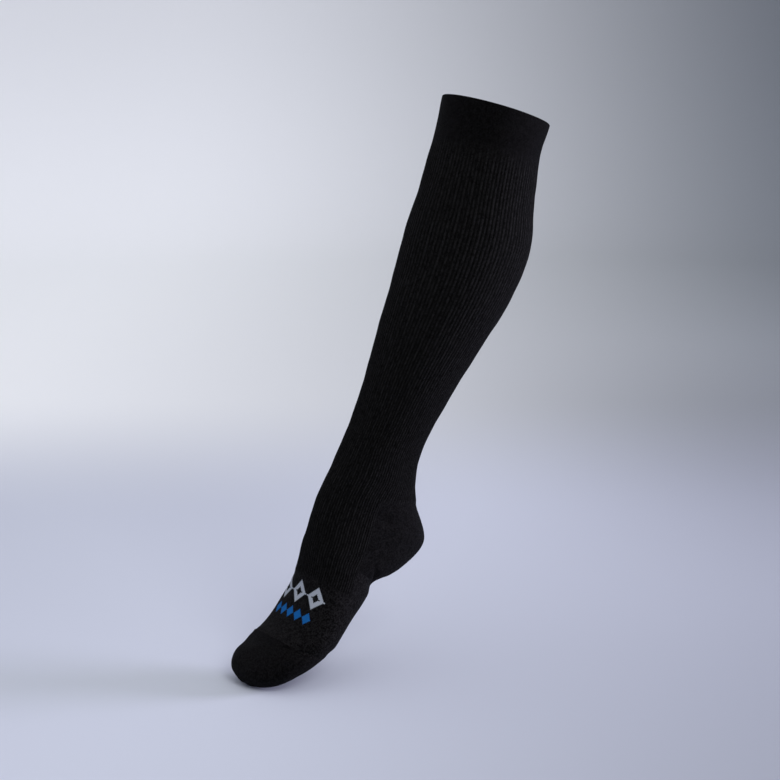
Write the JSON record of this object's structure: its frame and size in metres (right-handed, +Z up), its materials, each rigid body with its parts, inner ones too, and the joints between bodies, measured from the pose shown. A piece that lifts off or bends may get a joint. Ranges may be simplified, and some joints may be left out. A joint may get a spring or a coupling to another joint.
{
  "type": "compression stocking",
  "caption": "Knee-high compression stocking, filled out as if worn: open top band, ribbed leg, plain heel pocket, ribbed instep over a plain sole, plain forefoot and closed toe.",
  "frame": {"origin": "centre of the top band's mouth, where the leg comes out and the wearer holds the stocking up", "axes": "+Z up, -Y towards the toe, +X towards the outer side of a left foot; the leg's middle plane is X = 0"},
  "size_m": [0.1126, 0.3302, 0.5219],
  "materials": {
    "rib_knit": "matt ribbed nylon and elastane knit, near black",
    "plain_knit": "matt plain nylon and elastane knit, near black, with a small light and blue knitted-in motif on the forefoot"
  },
  "bodies": {
    "root": {"top_band": "plain_knit", "calf_tube": "rib_knit", "shank_tube": "rib_knit", "ankle_tube": "rib_knit", "heel_pocket": "plain_knit", "instep_panel": "rib_knit", "sole_panel": "plain_knit", "forefoot_tube": "plain_knit", "toe_cap": "plain_knit"}
  },
  "joints": []
}
